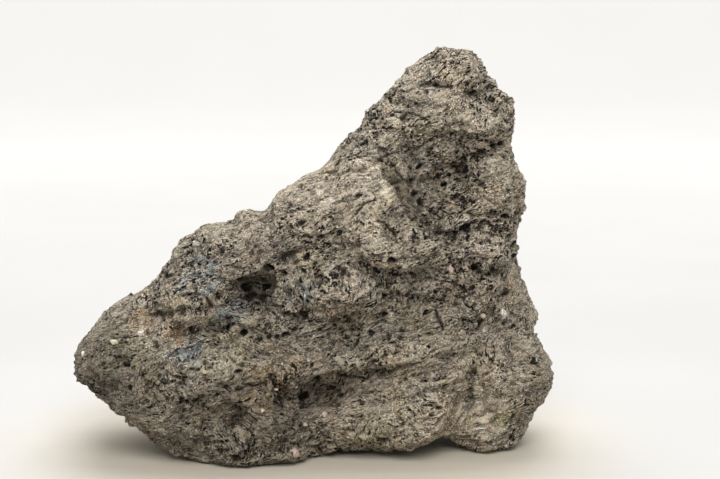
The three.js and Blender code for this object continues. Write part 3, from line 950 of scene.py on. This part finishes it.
def lava_finish():
    """Dull, dusty, dark lava: pores down to the size of sand, pale dust with painted highlight on what
    stands proud, and painted shade in its creases, hollows, pores and cracks.
    """
    n = Nodes("lava_bubbly_dark")
    where = n.millimetres()
    level = n.add("ShaderNodeSeparateXYZ", "Z", {0: where})
    curved = n.curved(where, 38, n.step(level, 70, 150, 56, 22))
    drawn = n.drawn_out(curved, (1.7, 1.2, 0.9), FLOW_RISE)
    grit = n.noise(where, 1.3, 4, 0.75)
    mottle = n.noise(where, 5, 4, 0.7)
    lines = n.noise(n.drawn_out(curved, (7, 4, 1), FLOW_RISE), 1.25, 3, 0.6)
    streaks = n.times(n.step(lines, 0.34, 0.41, 1.0, 0.0), n.step(mottle, 0.45, 0.55, 1.0, 0.0))
    solid, blisters = lava_pores(n, where, drawn)
    wrinkles = lava_wrinkles(n, where, curved)

    proud = n.plus(n.times(n.stored("proud_near"), 0.9), n.times(n.stored("proud_wide"), 0.22))
    tone = dust_and_shade_tone(n, grit, lines, mottle, proud)
    # Painted glints: tiny bright highlights scattered over the lava.
    painted_glints = n.step(n.noise(where, 0.9, 1, 0.5), 0.63, 0.67)
    earthy = n.step(n.noise(where, 30, 4, 0.6), 0.46, 0.64, 0.0, 0.5)

    colour = rock_colour(n, where, curved, drawn)
    # Soot where the fine relief runs low and the surface is hollow, dust where it stands high: partly
    # mottle, partly painted shade and painted highlight.
    colour = n.mix(n.step(tone, 0.40, 0.50, 0.36, 0.0), colour, SOOT_AND_PAINTED_SHADE)
    colour = n.mix(n.step(tone, 0.50, 0.58, 0.0, 0.50), colour, DUST_AND_PAINTED_HIGHLIGHT)
    colour = n.mix(n.times(n.stored("stained"), 0.85), colour, n.stored("stain", "Color"), "COLOR")
    # Painted shade along the low flow streaks and the wrinkles of the fine relief.
    colour = n.mix(n.times(streaks, 0.75), colour, CREASE_SHADE)
    colour = n.mix(n.times(wrinkles, 0.75), colour, CREASE_SHADE)
    colour = n.mix(n.times(painted_glints, 0.95), colour, PAINTED_GLINT)
    # Painted shade in the mesh's hollows.
    colour = n.mix(n.step(proud, -1.1, -0.15, 0.8, 0.0), colour, HOLLOW_SHADE)
    # Near-black painted shade in the pits and blisters, then in the cracks and holes.
    colour = n.mix(n.minus(1, n.times(solid, blisters)), colour, PORE_SHADE)
    colour = n.mix(n.times(n.stored("cut"), 0.62), colour, PORE_SHADE)
    colour = n.mix(earthy, colour, EARTHY_TINT, "MULTIPLY")
    # The stored painted light and shade, with its dust and soot, brightens or darkens everything.
    colour = n.mix(1.0, colour, n.stored("shade"), "MULTIPLY")
    n.put(n.shader.inputs["Base Color"], colour)
    dullness = n.step(n.noise(where, 2.2, 3, 0.6), 0.3, 0.7, 0.95, 0.62)
    n.put(n.shader.inputs["Roughness"], dullness)
    n.shader.inputs["Specular IOR Level"].default_value = 0.25
    fine_relief(n, grit, lines, solid, wrinkles)
    return n.material


def grain_finish():
    """Chalky crystal, each grain its own tone, stained in random spots."""
    n = Nodes("mineral_chalky")
    where = n.millimetres()
    spots = n.step(n.noise(where, 0.7, 4, 0.7), 0.35, 0.62)
    n.put(n.shader.inputs["Base Color"], n.mix(spots, GRAIN_DIRT, n.stored("tone", "Color")))
    n.shader.inputs["Roughness"].default_value = 0.6
    relief = {"Height": n.noise(where, 0.6, 4, 0.7), "Distance": 0.3 * MM}
    n.put(n.shader.inputs["Normal"], n.add("ShaderNodeBump", inputs=relief))
    return n.material


def paper_finish():
    """Cream under the stone, painted to warm the tone of its cast shadow, and white paper further off
    that glows, slightly clouded.
    """
    n = Nodes("paper_pale")
    where = n.millimetres()
    cloud = n.step(n.noise(where, 240, 2, 0.5), 0.3, 0.7)
    grain = n.step(n.noise(n.drawn_out(where, (40, 6, 6)), 3.0, 4, 0.6), 0.3, 0.7)
    white = n.mix(cloud, *PAPER_WHITE)
    cream = n.mix(grain, *CREAM_SHADOW_TINT)
    apart = n.arrow("LENGTH", {0: where}, "Value")
    # Cream within about 100 to 240 mm of the middle: painted warm shadow tone.
    n.put(n.shader.inputs["Base Color"], n.mix(n.step(apart, 100, 240), cream, white))
    n.put(n.shader.inputs["Emission Strength"], n.step(apart, 350, 1900, 0.0, 0.58))
    n.shader.inputs["Emission Color"].default_value = PAPER_GLOW
    n.shader.inputs["Roughness"].default_value = 0.9
    return n.material


# ---------------------------------------------------------------- the table, the light and the camera
def backdrop():
    """A sheet of paper that lies under the stone and curves up behind it."""
    profile = [(-PAPER_REACH, 0.0), (PAPER_BACK, 0.0)]
    for degrees in range(6, 91, 6):
        turn = math.radians(degrees)
        profile.append((PAPER_BACK + PAPER_BEND * math.sin(turn), PAPER_BEND * (1 - math.cos(turn))))
    profile.append((PAPER_BACK + PAPER_BEND, PAPER_TOP))
    vertices = [(side * PAPER_REACH, y, z) for y, z in profile for side in (-1, 1)]
    faces = [(2 * k, 2 * k + 1, 2 * k + 3, 2 * k + 2) for k in range(len(profile) - 1)]
    mesh = bpy.data.meshes.new("backdrop")
    mesh.from_pydata(vertices, [], faces)
    sheet = bpy.data.objects.new("backdrop", mesh)
    bpy.context.scene.collection.objects.link(sheet)
    select_only(sheet)
    bpy.ops.object.shade_smooth()
    sheet.data.materials.append(paper_finish())


def soft_light(name, place, aim, size, power):
    """A large square soft box."""
    bpy.ops.object.light_add(type="AREA", location=place)
    light = bpy.context.active_object
    light.name = name
    light.data.shape = "SQUARE"
    light.data.size = size
    light.data.energy = power
    light.rotation_euler = (Vector(aim) - Vector(place)).to_track_quat("-Z", "Y").to_euler()


def white_surround(strength):
    """Even white light from all round."""
    world = bpy.data.worlds.new("white_tent")
    world.use_nodes = True
    background = world.node_tree.nodes["Background"]
    background.inputs["Color"].default_value = TENT_LIGHT
    background.inputs["Strength"].default_value = strength
    bpy.context.scene.world = world


def camera():
    bpy.ops.object.camera_add(location=EYE, rotation=(EYE_TILT, 0, 0))
    eye = bpy.context.active_object
    eye.data.lens = LENS
    eye.data.sensor_width = SENSOR
    eye.data.clip_start = EYE_NEAREST
    bpy.context.scene.camera = eye


# ---------------------------------------------------------------- the scene
stone = lava_stone()
mark_surface(stone)
stone.data.materials.clear()
stone.data.materials.append(lava_finish())
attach(stone, "root")
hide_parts("lava_rock")

grains = mineral_grains(stone)
grains.data.materials.append(grain_finish())
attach(grains, "root")
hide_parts("lava_rock")

backdrop()
soft_light("overhead", place=(0.0, 0.45, 1.20), aim=(0, 0, 0.1), size=1.2, power=20)
soft_light("key", place=(0.10, -1.15, 1.20), aim=(0, 0, 0.1), size=1.0, power=22)
white_surround(strength=0.50)
camera()
bpy.context.scene.view_settings.view_transform = "Standard"
